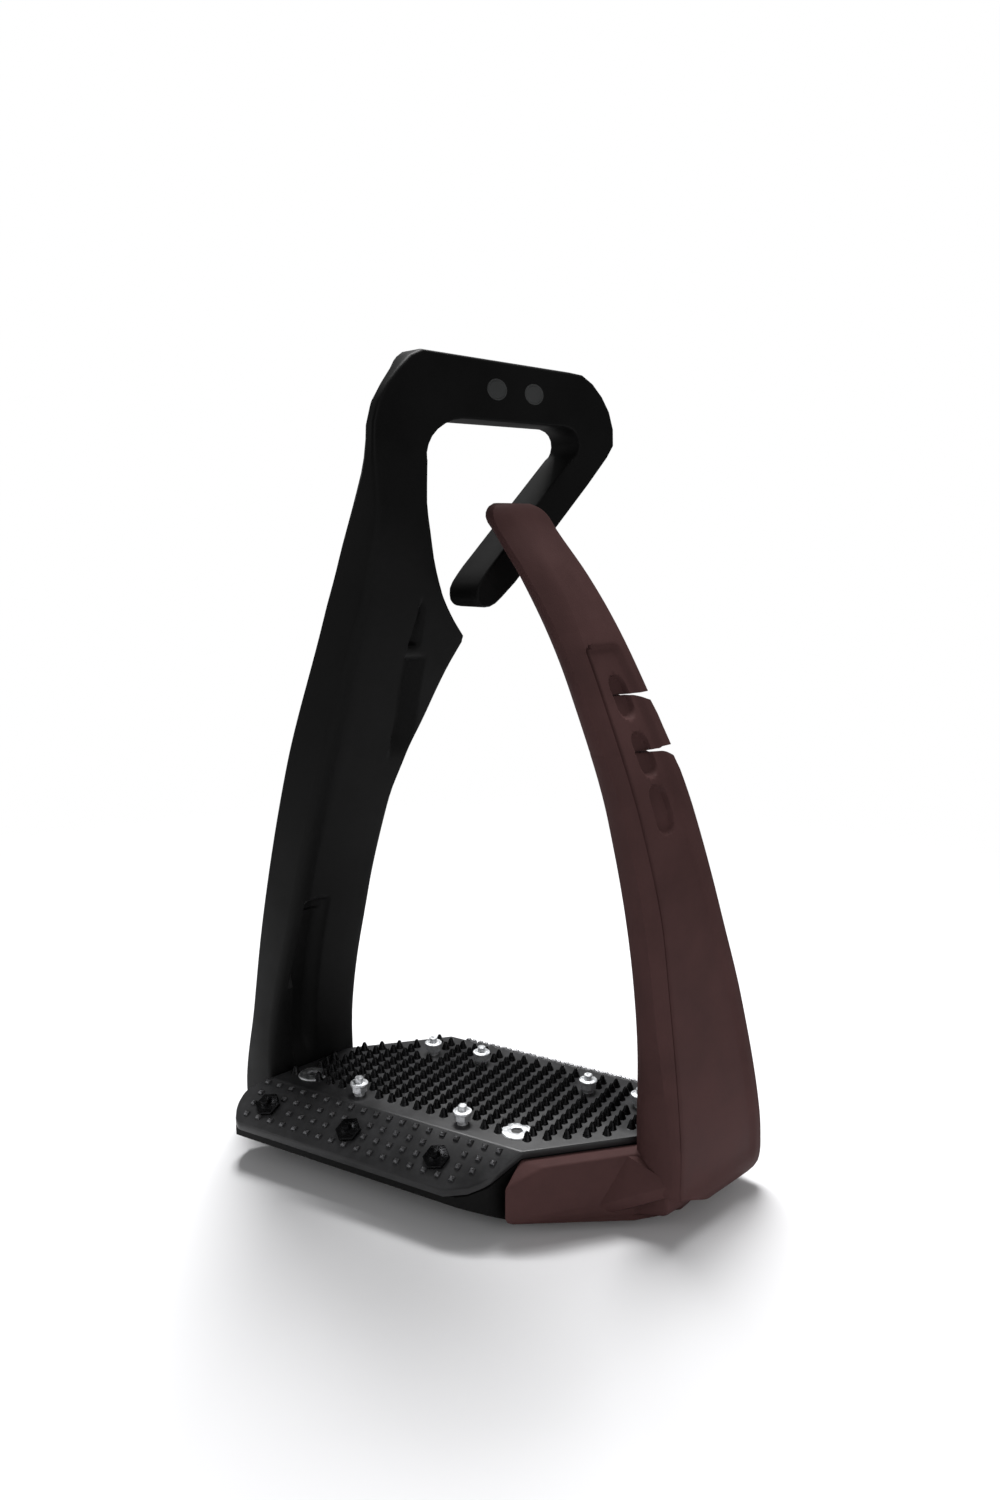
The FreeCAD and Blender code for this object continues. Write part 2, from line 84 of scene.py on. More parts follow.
def smooth_line(*points):
    """A smooth curve through (position, value) points that never overshoots them."""
    steps = [(b[1] - a[1]) / (b[0] - a[0]) for a, b in zip(points, points[1:])]
    slopes = [steps[0]]
    for before, after in zip(steps, steps[1:]):
        slopes.append(2 * before * after / (before + after) if before * after > 0 else 0)
    slopes.append(steps[-1])

    def value(position):
        position = min(max(position, points[0][0]), points[-1][0])
        span = 0
        while span < len(points) - 2 and position > points[span + 1][0]:
            span += 1
        (x0, y0), (x1, y1) = points[span], points[span + 1]
        reach = x1 - x0
        t = (position - x0) / reach
        return (y0 * (1 + 2 * t) * (1 - t) ** 2 + slopes[span] * reach * t * (1 - t) ** 2
                + y1 * t * t * (3 - 2 * t) + slopes[span + 1] * reach * t * t * (t - 1))

    return value


def blend_step(low, high, value):
    """0 below low, 1 above high, and smooth between them."""
    t = min(max((value - low) / (high - low), 0), 1)
    return t * t * (3 - 2 * t)


def between(rise, fall, value):
    """1 between two smooth steps, each given as a (low, high) pair, and 0 outside them."""
    return blend_step(*rise, value) * (1 - blend_step(*fall, value))


def evenly(first, last, pitch):
    """Values from first to last, about a pitch apart."""
    count = max(1, round(abs(last - first) / pitch))
    return [first + (last - first) * i / count for i in range(count + 1)]


def finish_mesh(name, bm, material, sharp=32):
    """Turns a bmesh in millimetres into an object in metres."""
    bmesh.ops.recalc_face_normals(bm, faces=bm.faces)
    mesh = bpy.data.meshes.new(name)
    bm.to_mesh(mesh)
    bm.free()
    mesh.transform(Matrix.Scale(MM, 4))
    mesh.polygons.foreach_set("use_smooth", [True] * len(mesh.polygons))
    mesh.set_sharp_from_angle(angle=math.radians(sharp))
    mesh.materials.append(material)
    piece = bpy.data.objects.new(name, mesh)
    bpy.context.scene.collection.objects.link(piece)
    return piece


# Steps round each corner of a section, and the least gap between two points of its face.
ARC_STEPS = 4
LEAST_GAP = 0.02


def corner_arc(start, end, corner, bulge):
    """Points of a rounded corner. A bulge of 1 is round, and 0 is a straight chamfer."""
    points = []
    for i in range(ARC_STEPS + 1):
        t = i / ARC_STEPS
        angle = t * math.pi / 2
        centre = [s + e - c for s, e, c in zip(start, end, corner)]
        round_point = [c + (s - c) * math.cos(angle) + (e - c) * math.sin(angle)
                       for c, s, e in zip(centre, start, end)]
        flat_point = [s + (e - s) * t for s, e in zip(start, end)]
        points.append([f + (r - f) * bulge for f, r in zip(flat_point, round_point)])
    return points


def spaced(knots):
    """Positions between (position, steps to the next) knots, pushed apart where knots cross."""
    first = knots[0][0]
    positions = [first]
    for (_, steps), (end, _) in zip(knots, knots[1:]):
        start = positions[-1]
        end = max(end, start + LEAST_GAP * steps)
        positions += [start + (end - start) * (i + 1) / steps for i in range(steps)]
    over = positions[-1] / knots[-1][0]
    if over > 1:
        positions = [first + (value - first) / over for value in positions]
    return positions


def rounded_section(width, depth, corners, face):
    """A closed section in (u, v): the face at v = depth first, then clockwise.

    corners are four (u radius, v radius, bulge), for the edges in this order: far face, far back,
    near back, near face. face holds the positions of the face's points, from near corner to far one.
    """
    far_face, far_back, near_back, near_face = corners
    section = [[u, depth] for u in face]
    end = width - far_face[0]
    section += corner_arc((end, depth), (width, depth - far_face[1]), (width, depth), far_face[2])[1:]
    start, end = width - far_back[0], near_back[0]
    reach = (start - end) / (face[-1] - face[0])
    section += corner_arc((width, far_back[1]), (start, 0), (width, 0), far_back[2])[:-1]
    section += [[end + (u - face[0]) * reach, 0] for u in reversed(face)]
    section += corner_arc((end, 0), (0, near_back[1]), (0, 0), near_back[2])[1:]
    section += corner_arc((0, depth - near_face[1]), (near_face[0], depth), (0, depth), near_face[2])[:-1]
    return section


def join_rows(bm, rows):
    """Bands of four-sided faces between closed rows of vertices."""
    for low, high in zip(rows, rows[1:]):
        for i in range(len(low)):
            j = (i + 1) % len(low)
            bm.faces.new((low[i], low[j], high[j], high[i]))


def loft(rings, count):
    """Joins rings of equal length into a closed skin. Each ring starts with count points of its face."""
    bm = bmesh.new()
    rows = [[bm.verts.new(point) for point in ring] for ring in rings]
    join_rows(bm, rows)
    back = count + 2 * ARC_STEPS
    for row in (rows[0], rows[-1]):
        for i in range(count - 1):
            bm.faces.new((row[i], row[i + 1], row[back + count - 2 - i], row[back + count - 1 - i]))
        bm.faces.new(row[count - 1:back + 1])
        bm.faces.new(row[back + count - 1:] + row[:1])
    return bm


# ---- shader node helpers

def add_node(tree, kind, inputs=None, **settings):
    """Adds a node with its settings and plain input values."""
    made = tree.nodes.new(kind)
    for key, value in settings.items():
        setattr(made, key, value)
    for key, value in (inputs or {}).items():
        made.inputs[key].default_value = value
    return made


def wire(tree, *joins):
    """Joins sockets, each given as a node, its output, the next node and its input."""
    for source, output, target, socket in joins:
        tree.links.new(source.outputs[output], target.inputs[socket])


def colour(red, green, blue):
    """A display colour from 0 to 255, as the shader wants it."""
    linear = []
    for channel in (red, green, blue):
        channel = channel / 255
        linear.append(channel / 12.92 if channel < 0.04045 else ((channel + 0.055) / 1.055) ** 2.4)
    return (*linear, 1)


def new_group(name, inputs, outputs):
    """An empty node group with named float or vector sockets."""
    group = bpy.data.node_groups.new(name, "ShaderNodeTree")
    for label, kind, default in inputs:
        socket = group.interface.new_socket(label, in_out="INPUT", socket_type=kind)
        socket.default_value = default
    for label in outputs:
        group.interface.new_socket(label, in_out="OUTPUT", socket_type="NodeSocketFloat")
    return group, group.nodes.new("NodeGroupInput"), group.nodes.new("NodeGroupOutput")


def moulded_grain_group():
    """Fine spark-eroded grain of a moulded part, and slow cloudy unevenness of its sheen."""
    group, given, out = new_group(
        "moulded grain",
        [("Grain per metre", "NodeSocketFloat", 2500), ("Cloud per metre", "NodeSocketFloat", 60)],
        ["Grain", "Cloud"])
    place = add_node(group, "ShaderNodeTexCoord")
    grain = add_node(group, "ShaderNodeTexNoise", {"Detail": 3, "Roughness": 0.6})
    cloud = add_node(group, "ShaderNodeTexNoise", {"Detail": 4, "Roughness": 0.55})
    wire(group,
         (place, "Object", grain, "Vector"),
         (place, "Object", cloud, "Vector"),
         (given, "Grain per metre", grain, "Scale"),
         (given, "Cloud per metre", cloud, "Scale"))
    spread = add_node(group, "ShaderNodeMapRange", {"From Min": 0.35, "From Max": 0.65})
    wire(group,
         (cloud, "Fac", spread, "Value"),
         (grain, "Fac", out, "Grain"),
         (spread, "Result", out, "Cloud"))
    return group


def settled_dust_group():
    """Mask of the dust that lies on upward faces, broken up in patches."""
    group, given, out = new_group(
        "settled dust",
        [("Amount", "NodeSocketFloat", 0.3), ("Patch per metre", "NodeSocketFloat", 220)],
        ["Mask"])
    place = add_node(group, "ShaderNodeTexCoord")
    facing = add_node(group, "ShaderNodeNewGeometry")
    split = add_node(group, "ShaderNodeSeparateXYZ")
    patch = add_node(group, "ShaderNodeTexNoise", {"Detail": 5, "Roughness": 0.7})
    up = add_node(group, "ShaderNodeMapRange", {"From Min": 0.2, "From Max": 1})
    broken = add_node(group, "ShaderNodeMapRange", {"From Min": 0.45, "From Max": 0.75})
    both = add_node(group, "ShaderNodeMath", operation="MULTIPLY")
    amount = add_node(group, "ShaderNodeMath", operation="MULTIPLY")
    wire(group,
         (facing, "Normal", split, "Vector"),
         (split, "Z", up, "Value"),
         (place, "Object", patch, "Vector"),
         (given, "Patch per metre", patch, "Scale"),
         (patch, "Fac", broken, "Value"),
         (up, "Result", both, 0),
         (broken, "Result", both, 1),
         (both, "Value", amount, 0),
         (given, "Amount", amount, 1),
         (amount, "Value", out, "Mask"))
    return group


def scratches_group():
    """Mask of fine scratches that run in one direction, for turned and drawn metal."""
    group, given, out = new_group(
        "fine scratches",
        [("Along", "NodeSocketVector", (1, 1, 12)), ("Scratch per metre", "NodeSocketFloat", 900)],
        ["Mask"])
    place = add_node(group, "ShaderNodeTexCoord")
    stretch = add_node(group, "ShaderNodeMapping")
    noise = add_node(group, "ShaderNodeTexNoise", {"Detail": 6, "Roughness": 0.75})
    spread = add_node(group, "ShaderNodeMapRange", {"From Min": 0.4, "From Max": 0.6})
    wire(group,
         (place, "Object", stretch, "Vector"),
         (given, "Along", stretch, "Scale"),
         (stretch, "Vector", noise, "Vector"),
         (given, "Scratch per metre", noise, "Scale"),
         (noise, "Fac", spread, "Value"),
         (spread, "Result", out, "Mask"))
    return group


MOULDED_GRAIN = moulded_grain_group()
SETTLED_DUST = settled_dust_group()
FINE_SCRATCHES = scratches_group()


def place_group(tree, group, **values):
    """Puts a shared group into a material with its own values."""
    made = add_node(tree, "ShaderNodeGroup", node_tree=group)
    for key, value in values.items():
        made.inputs[key.replace("_", " ")].default_value = value
    return made


def mix_colours(tree, factor, first, second):
    """Mixes two colours, or an earlier mix and a colour, by a mask."""
    mix = add_node(tree, "ShaderNodeMix", data_type="RGBA")
    tree.links.new(factor, mix.inputs[0])
    for socket, value in ((mix.inputs[6], first), (mix.inputs[7], second)):
        if isinstance(value, tuple):
            socket.default_value = value
        else:
            tree.links.new(value, socket)
    return mix.outputs[2]


def spread_value(tree, factor, low, high):
    """Maps a mask to a range of values."""
    spread = add_node(tree, "ShaderNodeMapRange", {"To Min": low, "To Max": high})
    tree.links.new(factor, spread.inputs["Value"])
    return spread.outputs["Result"]


def start_material(name, **plain):
    """A material with its shader's constant sockets set."""
    material = bpy.data.materials.new(name)
    material.use_nodes = True
    shader = material.node_tree.nodes["Principled BSDF"]
    for key, value in plain.items():
        shader.inputs[key.replace("_", " ")].default_value = value
    return material, material.node_tree, shader


def add_bump(tree, shader, height, distance):
    """Raises the surface by a height pattern, in millimetres."""
    bump = add_node(tree, "ShaderNodeBump", {"Distance": distance * MM, "Strength": 1.0})
    tree.links.new(height, bump.inputs["Height"])
    tree.links.new(bump.outputs["Normal"], shader.inputs["Normal"])


def moulded_plastic(name, dark, light, dust, rough, grain_depth, dust_amount, shine):
    """Moulded polymer: cloudy satin sheen, fine grain and a little settled dust."""
    material, tree, shader = start_material(name, IOR=1.46, Specular_IOR_Level=shine)
    grain = place_group(tree, MOULDED_GRAIN, Grain_per_metre=2600, Cloud_per_metre=55)
    settled = place_group(tree, SETTLED_DUST, Amount=dust_amount)
    body = mix_colours(tree, grain.outputs["Cloud"], dark, light)
    tree.links.new(mix_colours(tree, settled.outputs["Mask"], body, dust), shader.inputs["Base Color"])
    tree.links.new(spread_value(tree, grain.outputs["Cloud"], *rough), shader.inputs["Roughness"])
    add_bump(tree, shader, grain.outputs["Grain"], grain_depth)
    return material


TOOL_MARK_DEPTH = 0.01


def tooled_metal(name, dark, light, rough):
    """Metal with fine tool marks that vary its colour and sheen."""
    material, tree, shader = start_material(name, Metallic=1.0)
    marks = place_group(tree, FINE_SCRATCHES, Along=(1, 1, 12), Scratch_per_metre=900)
    tree.links.new(mix_colours(tree, marks.outputs["Mask"], dark, light), shader.inputs["Base Color"])
    tree.links.new(spread_value(tree, marks.outputs["Mask"], *rough), shader.inputs["Roughness"])
    add_bump(tree, shader, marks.outputs["Mask"], TOOL_MARK_DEPTH)
    return material


def tread_plate_finish():
    """Sheet steel with a cloudy black coat, and grey dust settled on what faces up."""
    material, tree, shader = start_material("black_coated_plate", IOR=1.5, Specular_IOR_Level=0.3)
    grain = place_group(tree, MOULDED_GRAIN, Grain_per_metre=1800, Cloud_per_metre=90)
    settled = place_group(tree, SETTLED_DUST, Amount=0.5, Patch_per_metre=150)
    coat = mix_colours(tree, grain.outputs["Cloud"], colour(38, 38, 39), colour(50, 50, 51))
    tree.links.new(mix_colours(tree, settled.outputs["Mask"], coat, colour(74, 74, 76)),
                   shader.inputs["Base Color"])
    tree.links.new(spread_value(tree, grain.outputs["Cloud"], 0.3, 0.42), shader.inputs["Roughness"])
    add_bump(tree, shader, grain.outputs["Grain"], 0.02)
    return material


BLACK_POLYMER = moulded_plastic("black_moulded_polymer", colour(12, 12, 12), colour(17, 17, 17),
                                colour(32, 32, 31), (0.46, 0.6), 0.02, 0.12, 0.1)
BROWN_POLYMER = moulded_plastic("brown_moulded_polymer", colour(72, 49, 48), colour(81, 56, 55),
                                colour(100, 80, 76), (0.6, 0.72), 0.03, 0.08, 0.12)
GREY_PLUG = moulded_plastic("grey_plug_polymer", colour(50, 51, 51), colour(60, 61, 61),
                            colour(110, 110, 108), (0.5, 0.6), 0.02, 0.1, 0.4)
COATED_PLATE = tread_plate_finish()
SPIKE_STEEL = tooled_metal("black_oxide_spikes", colour(24, 24, 25), colour(44, 44, 45), (0.2, 0.35))
# The facet points are the spikes' black steel made lighter: a painted highlight for the light on their tips.
HIGHLIGHTED_POINT_STEEL = tooled_metal("plate_points_painted_highlight", colour(70, 70, 71), colour(120, 120, 122), (0.3, 0.45))
ZINC_STEEL = tooled_metal("zinc_plated_steel", colour(204, 207, 211), colour(250, 251, 252), (0.35, 0.55))
BLACK_STEEL = tooled_metal("black_oxide_steel", colour(18, 18, 19), colour(38, 38, 39), (0.18, 0.34))
SPRING_STEEL = tooled_metal("rolled_spring_steel", colour(92, 94, 97), colour(134, 136, 139), (0.28, 0.45))
BRASS = tooled_metal("turned_brass", colour(176, 138, 72), colour(206, 172, 102), (0.2, 0.36))

# ---- main branch and leather eye

# Each line below is made of (height, place) points. Front and rear lines give the place along, and
# outer and inner lines give the place across.
BRANCH_FACE_POINTS = 40
BRANCH_FLOOR = 2
BRANCH_TOP = 180
SPUR_TOP = 138.5
SPUR_ROOT = 140
EYE_BACK, EYE_FACE = -2, 8
branch_front = smooth_line((BRANCH_FLOOR, -35.2), (150, -35.2), (166, -36.6), (176, -38.0),
                           (BRANCH_TOP, -38.6))
branch_rear = smooth_line((BRANCH_FLOOR, -7.9), (18, -7.9), (34, -8.7), (58, -10.7), (77, -11.7),
                          (96, -11.5), (108, -10), (118.5, -6.9), (132, -3.2), (SPUR_TOP, -0.7))
neck_rear = smooth_line((SPUR_ROOT, -0.8), (145, -6.4), (151, -11.9), (162, -19.3), (172, -23),
                        (BRANCH_TOP, -23.3))
branch_outer = smooth_line((BRANCH_FLOOR, -54), (10, -61), (37, -55.1), (63.5, -48.8), (108, -34.2),
                           (144, -17.1), (171, -5), (BRANCH_TOP, EYE_BACK))
branch_inner = smooth_line((BRANCH_FLOOR, -46), (20, -46), (74, -31), (124, -12), (151, -0.5),
                           (170, 6.8), (BRANCH_TOP, EYE_FACE))

# The hook slopes at 45 degrees, less a lean: it lies lower at its root, and higher at its end.
HOOK_UPPER = 160.3
HOOK_LOWER = 147.9
HOOK_BAR = (HOOK_UPPER - HOOK_LOWER) / 2
HOOK_ROOT = 24
HOOK_LEAN = 0.75
HOOK_LEAN_LOSS = 1.6

EYE_TOP = 202.8
EYE_TOP_START = -24.6
SLOT_TOP = 189.4
SLOT_TOP_START = -12.6
SLOT_RISE = 0.018
SLOT_SHARE = 0.7

# The eye's outer back edge is a wide chamfer at its front corner and a small round beyond it.
CORNER_CHAMFER, CORNER_BULGE = 7.8, 0.3
CROSSBAR_EDGE, CROSSBAR_BULGE = 1.1, 1.0
CORNER_END = (-35, -18)

# Edges of the branch's section, and the line that its hollows start from.
branch_feature = smooth_line((BRANCH_FLOOR, -27.1), (24, -28.9), (74, -33.0), (80, -32), (104, -17.5),
                             (109, -15.5), (136, -18.6), (150, -18), (BRANCH_TOP, -27))
branch_back_edge = smooth_line((BRANCH_FLOOR, 0.8), (148, 0.8), (160, 2.4), (168, 4), (174, 5.8),
                               (178, 7), (184, CORNER_CHAMFER))
branch_back_bulge = smooth_line((BRANCH_FLOOR, 1), (157, 1), (168, 0.6), (178, 0.4),
                                (184, CORNER_BULGE))
branch_face_edge = smooth_line((BRANCH_FLOOR, 4.5), (120, 3.6), (172, 1.4), (BRANCH_TOP, 1.2))

# Hollows of the inner face. A hollow deepens between the two heights of its start, and dies out between
# those of its end.
GROOVE_WIDTH, GROOVE_DEPTH = 6.0, 2.6
GROOVE_START, GROOVE_END = (20, 30), (71, 72.6)
NOTCH_DEPTH = 0.8
NOTCH_START, NOTCH_END = (68.4, 69.2), (71, 72)
POCKET_WIDTH, POCKET_DEPTH = 7.5, 2.4
POCKET_START, POCKET_END = (109, 118), (134.6, 136.2)
TAPER_DEPTH = 1.9
TAPER_START, TAPER_END = (138.2, 139.2), (146, 150)


def branch_relief(along, height):
    """How deep the lower groove and its notch, the pocket, and the tapered groove above it are."""
    past = along - branch_feature(height)
    depth = 0
    if height < GROOVE_END[1]:
        wall = between((0, 0.6), (GROOVE_WIDTH * 0.75, GROOVE_WIDTH * 1.4), past)
        depth += GROOVE_DEPTH * wall * between(GROOVE_START, GROOVE_END, height)
        notch = between((-1, -0.6), (GROOVE_WIDTH, GROOVE_WIDTH + 0.5), past)
        depth += NOTCH_DEPTH * notch * between(NOTCH_START, NOTCH_END, height)
    elif POCKET_START[0] < height < POCKET_END[1]:
        wall = between((0, 0.6), (2.5, POCKET_WIDTH), past)
        depth += POCKET_DEPTH * wall * between(POCKET_START, POCKET_END, height)
    elif TAPER_START[0] < height < TAPER_END[1]:
        width = 0.9 + 2.6 * (TAPER_END[1] - height) / 11
        wall = between((0, 0.5), (0.5 * width, 1.2 * width), past)
        depth += TAPER_DEPTH * wall * between(TAPER_START, TAPER_END, height)
    return depth


def branch_station(height):
    """One level section of the branch."""
    front = branch_front(height)
    rear = branch_rear(height) if height <= SPUR_TOP else neck_rear(max(height, SPUR_ROOT))
    back, face = branch_outer(height), branch_inner(height)
    face_edge, back_edge = branch_face_edge(height), branch_back_edge(height)
    corners = [(0.6, 0.6, 1), (0.9, 0.9, 1), (back_edge, back_edge, branch_back_bulge(height)),
               (face_edge, face_edge * 0.7, 1)]
    feature = branch_feature(height) - front
    marks = spaced([(face_edge, 6), (feature - 0.9, 3), (feature, 4), (feature + 0.6, 12),
                    (feature + GROOVE_WIDTH, 6), (feature + GROOVE_WIDTH * 1.5, 8), (rear - front - 0.6, 0)])
    ring = []
    for u, v in rounded_section(rear - front, face - back, corners, marks):
        relief = branch_relief(front + u, height) if v > face - back - 0.01 else 0
        ring.append(arm_point(back + v - relief, front + u, height))
    return ring


def hook_station(along):
    """The outer and inner edge points of the hook, which slopes at about 42 degrees."""
    lean = HOOK_LEAN * (1 - HOOK_LEAN_LOSS * (HOOK_ROOT - along) / HOOK_ROOT)
    return ((along + HOOK_BAR + lean, along + HOOK_UPPER - HOOK_BAR - lean),
            (along + lean, along + HOOK_UPPER - lean))


def eye_stations():
    """Pairs of outer and inner edge points round the eye, from the branch's top to the hook's end.

    Each point is (along, height).
    """
    front = [((-38.5, 184), (-23.3, 181.6)), ((-38.3, 187.0), (-22.8, 183.3)),
             ((-37.0, 191.2), (-21.7, 185.1)), ((-34.4, 195.0), (-20.0, 186.7)),
             ((-31.0, 198.5), (-17.8, 188.0)), ((-27.8, 201.3), (-15.4, 188.9)),
             ((EYE_TOP_START, EYE_TOP), (SLOT_TOP_START, SLOT_TOP))]
    top = []
    for along in evenly(-22, 22.6, 3):
        slot_run = (along - EYE_TOP_START) * SLOT_SHARE
        top.append(((along, EYE_TOP), (SLOT_TOP_START + slot_run, SLOT_TOP + SLOT_RISE * slot_run)))
    rear = [((27.4, 202.6), (21.8, 190.0)), ((31.2, 201.0), (23.9, 189.5)), ((34.9, 198.2), (25.3, 188.6)),
            ((37.8, 194.8), (26.1, 187.4)), ((39.5, 190.7), (26.3, 186.0)), ((39.7, 186.7), (25.9, 184.6)),
            ((37.3, 183.6), (25.3, 183.7))]
    hook = [hook_station(along) for along in evenly(23.2, -1.5, 2.2)]
    end = [((1.6, 151.2), (-4.5, 157.1)), ((-0.4, 149.7), (-6.3, 155.3)), ((-2.4, 148.4), (-7.9, 153.5)),
           ((-4.3, 147.7), (-8.7, 152.1)), ((-5.8, 147.6), (-8.8, 150.7)), ((-7.0, 147.8), (-8.6, 149.7))]
    return front + top + rear + hook + end


def eye_ring(outer, inner):
    """One section of the eye's bar, square to its run."""
    width = math.dist(outer, inner)
    past_corner = blend_step(*CORNER_END, outer[0])
    back_edge = CORNER_CHAMFER + (CROSSBAR_EDGE - CORNER_CHAMFER) * past_corner
    bulge = CORNER_BULGE + (CROSSBAR_BULGE - CORNER_BULGE) * past_corner
    corners = [(0.7, 0.7, 1), (0.8, 0.8, 1), (back_edge, back_edge, bulge), (0.8, 0.8, 1)]
    marks = spaced([(0.8, BRANCH_FACE_POINTS - 1), (width - 0.7, 0)])
    ring = []
    for u, v in rounded_section(width, EYE_FACE - EYE_BACK, corners, marks):
        t = u / width
        along = outer[0] + (inner[0] - outer[0]) * t
        height = outer[1] + (inner[1] - outer[1]) * t
        ring.append(arm_point(EYE_BACK + v, along, height))
    return ring


def make_branch_and_eye():
    """The black moulding from the tread up to the hook, in one skin.

    Its sections lie closest where a hollow starts or ends, and at the spur.
    """
    heights = evenly(BRANCH_FLOOR, 14, 2) + evenly(16, 26, 1.6) + evenly(28, 66, 3) + evenly(67, 73, 0.5)
    heights += evenly(75, 107, 3) + evenly(109, 118, 1.5) + evenly(120, 133, 1.6)
    heights += [134, 134.6, 135.2, 135.8, 136.4, 137, 137.8, SPUR_TOP, 139.2, SPUR_ROOT, 140.9]
    heights += evenly(142, 151, 1) + evenly(153, BRANCH_TOP, 3)
    rings = [branch_station(height) for height in heights]
    rings += [eye_ring(outer, inner) for outer, inner in eye_stations()]
    piece = finish_mesh("branch_and_eye", loft(rings, BRANCH_FACE_POINTS), BLACK_POLYMER)
    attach(piece, "root")
    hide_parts("main_branch", "leather_eye")


make_branch_and_eye()

# ---- flexible arm

# Lines of (height, place) points, as for the branch. The bevel's line gives its width.
ARM_FACE_POINTS = 64
ARM_FLOOR = 2
ARM_TIP = 172
PLAIN_STEP = 2.4
FINE_STEP = 0.55
arm_front = smooth_line((ARM_FLOOR, 6.2), (16, 6.2), (27, 5.6), (53, 5.5), (71, 5.2), (120, 0),
                        (143, -3), (165, -8.4), (168.4, -9.2), (170.3, -8.2), (171.3, -6.2))
arm_rear = smooth_line((ARM_FLOOR, 38.8), (3.6, 40.4), (7, 42.4), (27.4, 40.4), (50, 38), (74, 32.5),
                       (97.5, 27), (128, 20.2), (146, 15.7), (165, 9), (168.2, 7.9), (170.2, 6.1),
                       (171.3, 3.4))
arm_outer = smooth_line((ARM_FLOOR, 55.5), (3.5, 58), (6, 59.4), (11, 60), (16, 60), (53, 54.7),
                        (100, 46.5), (130, 35.8), (155, 23.8), (166.5, 16.5), (170.5, 14.4),
                        (171.9, 12.6))
arm_inner = smooth_line((ARM_FLOOR, 46), (22, 46), (50, 45.5), (100, 38.2), (130, 28), (154, 16.9),
                        (167, 10.4), (171.9, 10.2))
arm_bevel = smooth_line((ARM_FLOOR, 1.6), (39, 2.1), (60, 1), (76, 0.6), (100, 1.1), (127, 2),
                        (154, 2.6), (163, 2.8), (168, 0.9), (171.3, 0.5))
crease_along = smooth_line((ARM_FLOOR, 7.4), (15, 7.4), (25, 7.5), (53, 9), (71, 9.1), (101, 5.8),
                           (110, 4.7), (140, 2.4))

PANEL_TOP = 139.7
PANEL_DEPTH = 0.7
CREASE_DEPTH = 1.5
CREASE_HALF_WIDTH = 0.48
BEVEL_DEPTH = 4.2
RIM_WIDTH = 3.0
RIM_FILLET = 2.8
FRONT_CHAMFER_DROP = 2.3
ARM_EDGE = 0.9
BOTTOM_RISE = 8.5
RISE_RUN = (3, 30)
RISE_FADE = (2, 22)

# Each finger hollow is (height, place along, half its length, width).
FINGER_HOLLOWS = [(127.6, 10.6, 5.2, 6.2), (114.5, 12.9, 5.4, 6.2), (101.7, 14.9, 6.1, 6.8)]
HOLLOW_LEAN = -0.16
HOLLOW_DEPTH = 2.0


class Slit:
    """A relief slit across the rear of the arm: its level, where it ends, and how far each lip opens."""

    def __init__(self, height, root, upper, lower):
        self.height = height
        self.root = root
        self.upper = smooth_line(*upper)
        self.lower = smooth_line(*lower)


LOWER_SLIT, UPPER_SLIT = 115, 128
SLITS = [
    Slit(LOWER_SLIT, 9.6, [(9.6, 0.3), (18.4, 0.3), (19.4, 0.7), (24, 0.8)],
         [(9.6, -0.3), (18.6, -0.3), (24, -2.4)]),
    Slit(UPPER_SLIT, 7.6, [(7.6, 0.1), (13.6, 0.12), (20, 0.3)],
         [(7.6, -0.1), (13.6, -0.15), (20, -1.8)]),
]
SLIT_REACH = 5
LIP_GAP = 1e-4
ROOT_GAP = 0.08
ROOT_INSET = 1.2


def finger_hollow(along, height):
    """Depth of the stadium-shaped hollows at a point of the arm's panel."""
    depth = 0
    for middle, centre, half_length, width in FINGER_HOLLOWS:
        half_width = width / 2
        side = along - centre - HOLLOW_LEAN * (height - middle)
        straight = half_length - half_width
        past = max(abs(height - middle) - straight, 0)
        edge = math.hypot(side, past) - half_width
        shallower = 0.35 * blend_step(-3, 3, side)
        depth = max(depth, HOLLOW_DEPTH * (1 - blend_step(-0.9, 0, edge)) * (1 - shallower))
    return depth


def rim_width(height):
    """Width of the raised band along the arm's rear edge."""
    return RIM_WIDTH * (0.75 + 0.25 * blend_step(50, 110, height))


def arm_relief(along, height):
    """How deep the arm's panel, crease and hollows lie below its outer face."""
    past = along - crease_along(height)
    rounding = 1.8 * blend_step(PANEL_TOP - 1.8, PANEL_TOP, height) ** 2
    rim = rim_width(height)
    top = 1 - blend_step(PANEL_TOP - 0.6, PANEL_TOP, height)
    bottom = blend_step(8, 11, height)
    from_rear = arm_rear(height) - along
    end = 1 - blend_step(PANEL_TOP - 1.5, PANEL_TOP, height)
    sunk = end * blend_step(rim, rim + RIM_FILLET, from_rear)
    panel = PANEL_DEPTH * blend_step(0, 0.5, past - rounding) * sunk
    line = CREASE_DEPTH * math.exp(-((past - rounding - 0.35) / CREASE_HALF_WIDTH) ** 2)
    return (panel + line) * bottom * top + finger_hollow(along, height)


def slit_shift(along, height):
    """How far a slit's open lips move a point of the arm up or down."""
    shift = 0
    for slit in SLITS:
        gap = height - slit.height
        if abs(gap) < SLIT_REACH:
            lip = slit.upper(along) if gap > 0 else slit.lower(along)
            shift += lip * (1 - abs(gap) / SLIT_REACH)
    return shift


def foot_rise(along, height):
    """How far the arm's rounded underside rises towards its front."""
    return BOTTOM_RISE * (1 - blend_step(*RISE_RUN, along)) * (1 - blend_step(*RISE_FADE, height))


